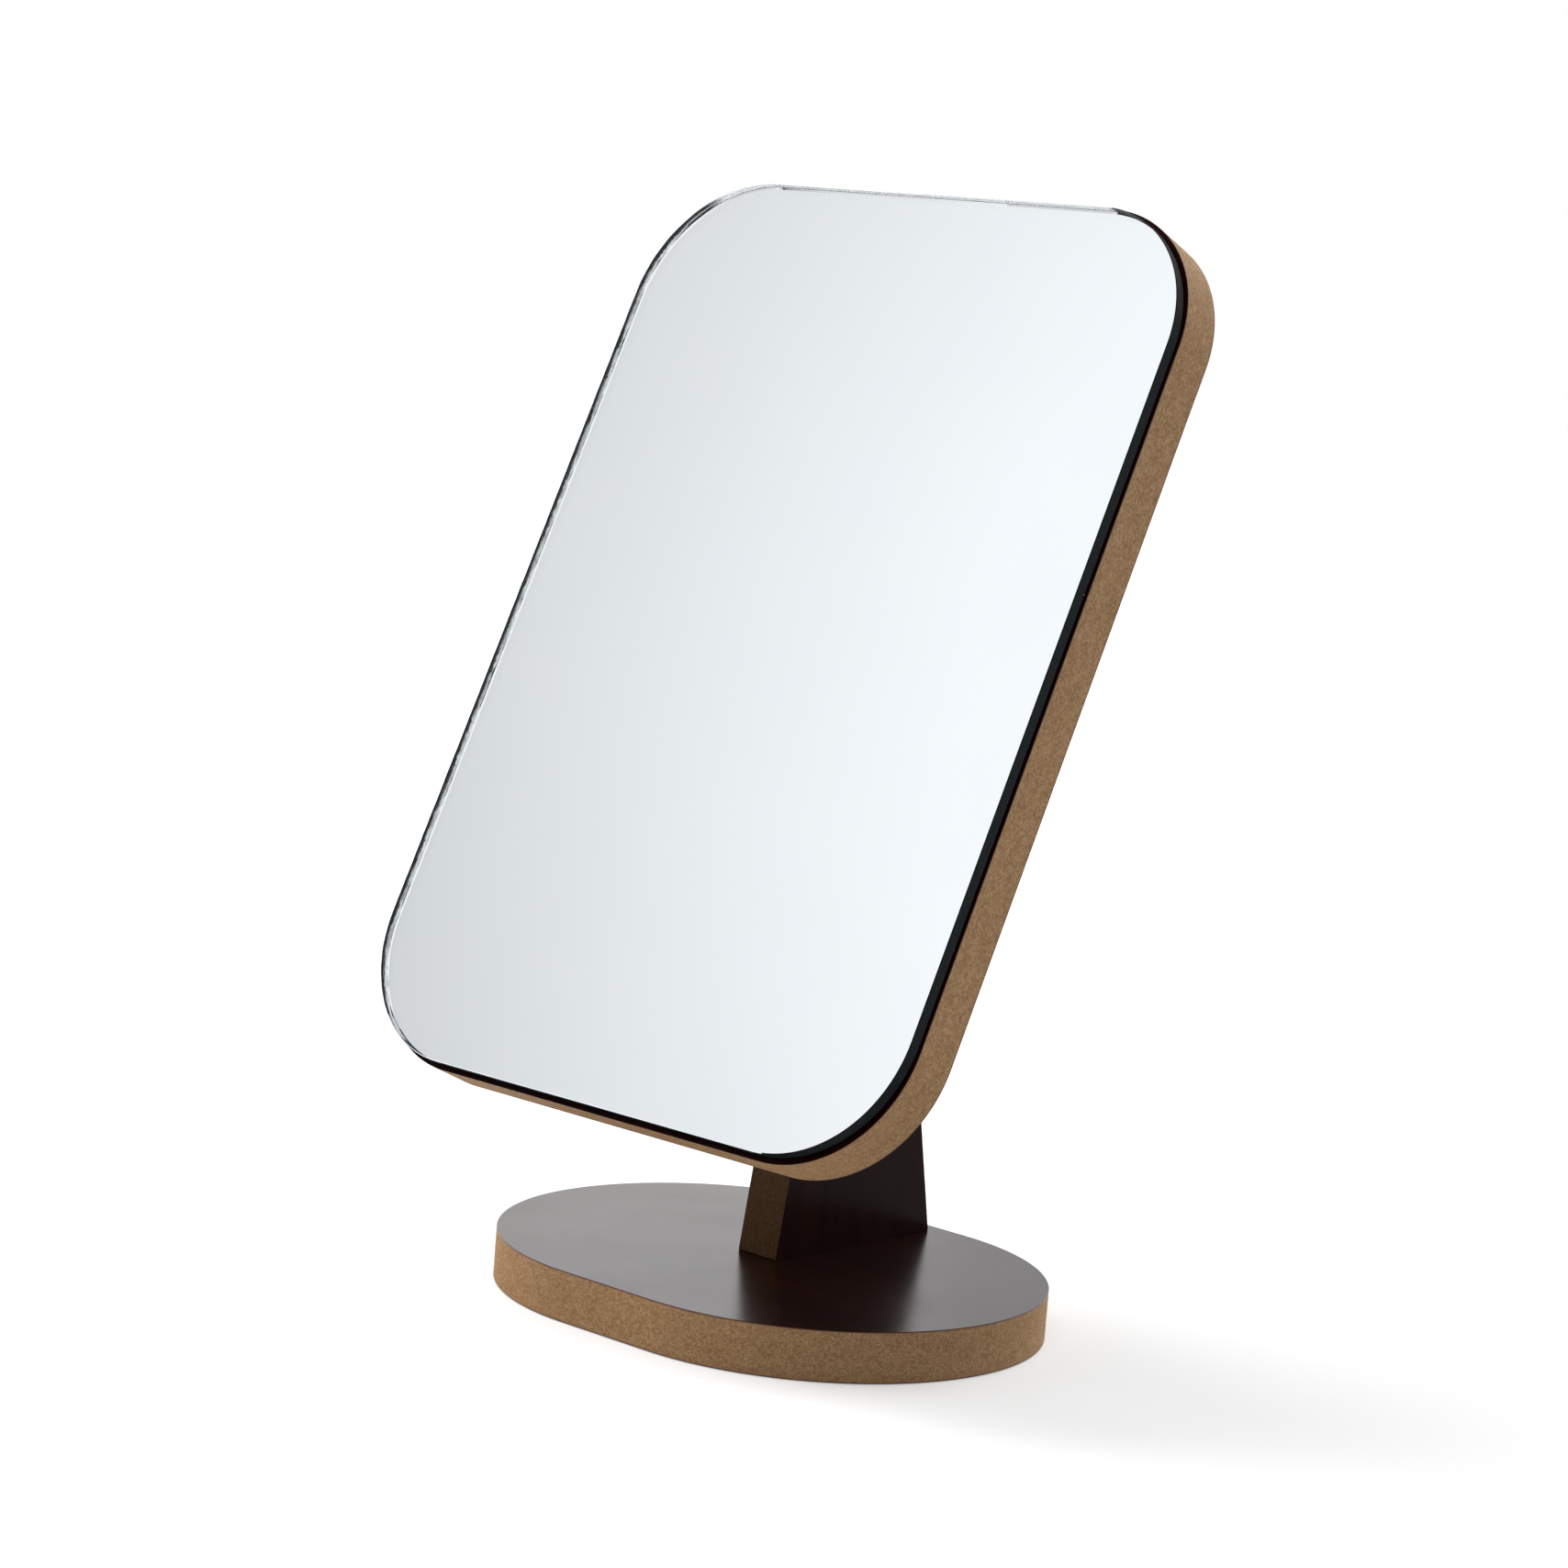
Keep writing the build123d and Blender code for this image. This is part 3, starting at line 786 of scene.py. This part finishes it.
# Turned pieces: a profile of (depth, radius) swept round an axis, with a socket sunk in its first face
def turnedSolid(shape, plane, profile, sides, socket, socketRows, ridge=None):
    def ringOf(depth, radius):
        points = []
        for k in range(sides):
            angle = 2 * math.pi * k / sides
            around = ridge(angle, depth, radius) if ridge else radius
            points.append((around * math.cos(angle), around * math.sin(angle)))
        return flatRing(shape, plane, points, depth)

    rings = [ringOf(depth, radius) for depth, radius in profile]
    bridge(shape, rings)
    capOver(shape, [rings[-1]])
    socketRings = []
    for depth, scale in socketRows:
        socketRings.append(flatRing(shape, plane, [(u * scale, v * scale) for u, v in socket], depth))
    capOver(shape, [rings[0], socketRings[0]])
    bridge(shape, socketRings)
    capOver(shape, [socketRings[-1]])


def crossOutline(half, wide):
    return [(half, -wide), (half, wide), (wide, wide), (wide, half), (-wide, half), (-wide, wide),
            (-half, wide), (-half, -wide), (-wide, -wide), (-wide, -half), (wide, -half), (wide, -wide)]


# Countersunk wood screw: cross recess, smooth neck, raised thread and a drawn-in tip
def woodScrew(shape, plane, length):
    head, shank, rim, deep = screw["head"], screw["shank"], screw["rim"], screw["crossDeep"]
    headHeight = head - shank
    neck = -headHeight - screw["neck"]
    profile = [(0.0, head - rim), (-rim * screw["rimTop"], head - screw["rimLoss"]), (-rim, head - rim),
               (-headHeight, shank), (neck, shank)]
    rows = round((length + neck) / screw["pitch"] * screw["rowsPerTurn"])
    for k in range(1, rows + 1):
        profile.append((neck + (-length - neck) * k / rows, shank))

    def thread(angle, depth, radius):
        if depth > neck - hair:
            return radius
        phase = (-depth / screw["pitch"] - angle / (2 * math.pi)) % 1.0
        crest = max(0.0, 1 - abs(phase - 0.5) * screw["crest"])
        fade = min(1.0, (neck - depth) / screw["threadFade"])
        point = min(1.0, max(screw["tipEnd"], (length + depth) / screw["tip"]))
        return (shank + (screw["root"] - shank) * fade * (1 - crest)) * point

    socket = crossOutline(screw["crossHalf"], screw["crossWide"])
    recess = [(0.0, 1.0), (-deep * screw["crossStep"], screw["crossTaper"]), (-deep, screw["crossFloor"])]
    turnedSolid(shape, plane, profile, screw["sides"], socket, recess, thread)


stemScrews = newShape()
for y in baseScrewYs:
    woodScrew(stemScrews, drawingPlane((0, y, 0), alongX, -alongY, -alongZ), screw["inStem"])
makePiece("stem_screws_piece", stemScrews, [zincLook], "stand", "stem_screws")

earScrews = newShape()
for side in (-1, 1):
    seat = tapePlane["origin"] + alongX * side * earMiddle
    woodScrew(earScrews, drawingPlane(seat, alongX, boardUp, boardFront), screw["inEar"])
makePiece("ear_screws_piece", earScrews, [zincLook], "mirror", "ear_screws")

# Pivot: connector bolt from the left, sleeve nut from the right, fibre washers beside the stem
connector = {"head": 7.5, "headThick": 2.0, "edge": 0.7, "sleeve": 4.5, "bolt": 3.0, "boltRoot": 2.55, "pitch": 1.0,
             "across": 4.0, "socketDeep": 2.4, "sleeveEnd": -10.3, "boltEnd": 4.7, "bore": 3.05, "boreEnd": 5.7,
             "sides": 48, "rowsPerTurn": 8, "threaded": 18.0, "threadFade": 0.8, "boltChamfer": 0.6,
             "sleeveChamfer": 0.3, "headBreak": 0.1, "edgeRows": 6, "socketLip": 0.15, "socketFlare": 1.06,
             "socketFloor": 0.2}
headFaceX = ears["outer"] + connector["headThick"]
hexReach = connector["across"] / math.sqrt(3)
hexSocket = [(hexReach * math.cos(math.pi * k / 3), hexReach * math.sin(math.pi * k / 3)) for k in range(6)]
hexRows = [(0.0, connector["socketFlare"]), (-connector["socketLip"], 1.0),
           (-connector["socketDeep"] + connector["socketFloor"], 1.0),
           (-connector["socketDeep"], connector["socketFloor"])]


# Flat head with a rounded rim, the same on both ends of the pivot
def headProfile():
    thick, radius, edge, broken = (connector[key] for key in ("headThick", "head", "edge", "headBreak"))
    rounded = []
    for k in range(connector["edgeRows"] + 1):
        angle = math.pi / 2 * k / connector["edgeRows"]
        rounded.append((-edge * (1 - math.cos(angle)), radius - edge * (1 - math.sin(angle))))
    return [*rounded, (-thick + broken, radius), (-thick, radius - broken)]


def pivotBolt():
    shape = newShape()
    plane = drawingPlane(pivotPoint - alongX * headFaceX, alongY, alongZ, -alongX)
    bolt, threaded, length = connector["bolt"], connector["threaded"], headFaceX + connector["boltEnd"]
    threadStart = -(length - threaded)
    profile = headProfile() + [(-connector["headThick"], bolt), (threadStart, bolt)]
    rows = round(threaded / connector["pitch"] * connector["rowsPerTurn"])
    profile += [(threadStart - threaded * k / rows, bolt) for k in range(1, rows + 1)]

    def thread(angle, depth, radius):
        if depth > threadStart - hair:
            return radius
        phase = (-depth / connector["pitch"] - angle / (2 * math.pi)) % 1.0
        crest = 1 - abs(phase - 0.5) * 2
        fade = min(1.0, (threadStart - depth) / connector["threadFade"])
        chamfer = min(0.0, (length + depth) - connector["boltChamfer"])
        return bolt + (connector["boltRoot"] - bolt) * fade * (1 - crest) + chamfer

    turnedSolid(shape, plane, profile, connector["sides"], hexSocket, hexRows, thread)
    return shape


def sleeveNut():
    shape = newShape()
    plane = drawingPlane(pivotPoint + alongX * headFaceX, alongY, -alongZ, alongX)
    endDepth = connector["sleeveEnd"] - headFaceX
    boreDepth = connector["boreEnd"] - headFaceX
    sleeve, bore, chamfer = connector["sleeve"], connector["bore"], connector["sleeveChamfer"]
    tube = [(-connector["headThick"], sleeve), (endDepth + chamfer, sleeve), (endDepth, sleeve - chamfer),
            (endDepth, bore + chamfer), (endDepth + chamfer, bore), (boreDepth, bore)]
    turnedSolid(shape, plane, headProfile() + tube, connector["sides"], hexSocket, hexRows)
    return shape


makePiece("pivot_bolt_piece", pivotBolt(), [nickelLook], "mirror", "pivot_bolt")
makePiece("pivot_sleeve_nut_piece", sleeveNut(), [nickelLook], "mirror", "pivot_sleeve_nut")

washer = {"radius": 9.0, "thickness": 0.8, "edge": 0.15, "boreShare": 0.4, "sides": 72}


def frictionWashers():
    shape = newShape()
    for face in (-ears["inner"], sheetThickness / 2):
        plane = drawingPlane(pivotPoint + alongX * face, alongY, alongZ, alongX)
        rows = [(0.0, washer["edge"]), (washer["edge"], 0.0), (washer["thickness"] - washer["edge"], 0.0),
                (washer["thickness"], washer["edge"])]
        outside, inside = [], []
        for depth, inset in rows:
            bore = pivot["hole"] + inset * washer["boreShare"]
            for radius, rings in ((washer["radius"] - inset, outside), (bore, inside)):
                rings.append(flatRing(shape, plane, circlePoints(0, 0, radius, washer["sides"]), depth))
        for rings in (outside, inside, [outside[0], inside[0]], [outside[-1], inside[-1]]):
            bridge(shape, rings)
    return shape


makePiece("friction_washers_piece", frictionWashers(), [fibreLook], "stand", "friction_washers")
print("screws and pivot fitted")

# Floor: plain and pale, just under the base, white where the camera and gloss see it lit
floor = {"half": 6.0, "drop": 0.0002, "pale": (0.50, 0.50, 0.50), "seen": (0.80, 0.80, 0.80), "nearGlow": 0.42,
         "farGlow": 0.75, "near": 0.25, "far": 1.1}


def seenRays(tree):
    path = tree.nodes.new("ShaderNodeLightPath")
    seen = mathOf(tree, "MAXIMUM", path.outputs["Is Camera Ray"], path.outputs["Is Glossy Ray"])
    return mathOf(tree, "MAXIMUM", seen, path.outputs["Is Transmission Ray"])


def paleFloor():
    material, tree, shader = newMaterial("paleFloor")
    seen = seenRays(tree)
    tree.links.new(mixColour(tree, seen, floor["pale"], floor["seen"]), shader.inputs["Base Color"])
    away = tree.nodes.new("ShaderNodeVectorMath")
    away.operation = "LENGTH"
    tree.links.new(objectCoord(tree), away.inputs[0])
    glow = rangeOf(tree, away.outputs["Value"], floor["near"], floor["far"], floor["nearGlow"], floor["farGlow"], True)
    tree.links.new(mathOf(tree, "MULTIPLY", seen, glow), shader.inputs["Emission Strength"])
    setSockets(shader, {"Roughness": 0.95, "Specular IOR Level": 0.0, "Emission Color": (1, 1, 1, 1)})
    half = floor["half"]
    corners = [(-half, -half, 0), (half, -half, 0), (half, half, 0), (-half, half, 0)]
    mesh = bpy.data.meshes.new("floor")
    mesh.from_pydata(corners, [], [(0, 1, 2, 3)])
    mesh.materials.append(material)
    piece = bpy.data.objects.new("floor", mesh)
    piece.location.z = -floor["drop"]
    bpy.context.scene.collection.objects.link(piece)


paleFloor()

# Studio: soft light from above and behind; what the camera and gloss see is white,
# greyer round the panel that the glass faces
studio = {"unlit": 0.03, "above": 0.65, "aboveFrom": 0.10, "aboveTo": 0.85, "behindAxis": (0.04, 0.99, 0.15),
          "behind": 2.4, "behindFrom": 0.70, "panel": (-0.443, -0.695, 0.567), "panelFrom": 0.9376, "panelTo": 0.9764,
          "greyFrom": 0.92, "greyTo": 0.75, "grey": 0.69}


def studioWorld():
    world = bpy.data.worlds.new("studio")
    bpy.context.scene.world = world
    world.use_nodes = True
    tree = world.node_tree
    direction = tree.nodes.new("ShaderNodeTexCoord").outputs["Generated"]

    def towards(axis):
        node = tree.nodes.new("ShaderNodeVectorMath")
        node.operation = "DOT_PRODUCT"
        node.inputs[1].default_value = Vector(axis).normalized()
        tree.links.new(direction, node.inputs[0])
        return node.outputs["Value"]

    above = rangeOf(tree, towards(alongZ), studio["aboveFrom"], studio["aboveTo"], studio["unlit"],
                    studio["above"], True)
    behind = rangeOf(tree, towards(studio["behindAxis"]), studio["behindFrom"], 1, 0, studio["behind"], True)
    light = mathOf(tree, "ADD", above, behind)
    toPanel = towards(studio["panel"])
    panel = rangeOf(tree, toPanel, studio["panelFrom"], studio["panelTo"], studio["grey"], 1)
    white = mathOf(tree, "MAXIMUM", panel,
                   rangeOf(tree, toPanel, studio["greyFrom"], studio["greyTo"], studio["grey"], 1, True))
    seen = tree.nodes.new("ShaderNodeMix")
    tree.links.new(seenRays(tree), seen.inputs[0])
    tree.links.new(light, seen.inputs[2])
    tree.links.new(white, seen.inputs[3])
    background = tree.nodes["Background"]
    background.inputs["Color"].default_value = (1, 1, 1, 1)
    tree.links.new(seen.outputs[0], background.inputs["Strength"])


studioWorld()

# A large soft lamp high on the left, and a dim one low behind on the left for the sheen on the base
lamps = {"softLamp": {"place": (-1.1, -0.5, 1.5), "aim": (0, 0, 0.1), "size": 1.2, "power": 26.0, "inGloss": False},
         "sheenLamp": {"place": (-1.22, 0.98, 0.42), "aim": (0, 0, 0), "size": 0.75, "power": 0.9, "inGloss": True}}
for lampName, lamp in lamps.items():
    lampData = bpy.data.lights.new(lampName, "AREA")
    lampData.size = lamp["size"]
    lampData.energy = lamp["power"]
    lampObject = bpy.data.objects.new(lampName, lampData)
    lampObject.location = lamp["place"]
    lampObject.rotation_euler = (Vector(lamp["aim"]) - Vector(lamp["place"])).to_track_quat("-Z", "Y").to_euler()
    lampObject.visible_camera = False
    lampObject.visible_glossy = lamp["inGloss"]
    lampObject.visible_transmission = False
    bpy.context.scene.collection.objects.link(lampObject)

# Camera at the photograph's viewing angle
camera = {"place": (0.64654273, -0.74026426, 0.26534738), "look": (-0.65639456, 0.7421361, -0.13557354),
          "roll": 4.6546, "lens": 92.47354, "sensor": 36.0, "nearest": 0.01}
cameraData = bpy.data.cameras.new("camera")
cameraData.lens = camera["lens"]
cameraData.sensor_width = camera["sensor"]
cameraData.clip_start = camera["nearest"]
cameraObject = bpy.data.objects.new("camera", cameraData)
turn = Vector(camera["look"]).to_track_quat("-Z", "Y") @ Quaternion((0, 0, 1), math.radians(camera["roll"]))
cameraObject.matrix_world = Matrix.Translation(camera["place"]) @ turn.to_matrix().to_4x4()
bpy.context.scene.collection.objects.link(cameraObject)
bpy.context.scene.camera = cameraObject
bpy.context.scene.view_settings.view_transform = "Standard"
print("studio and camera set")
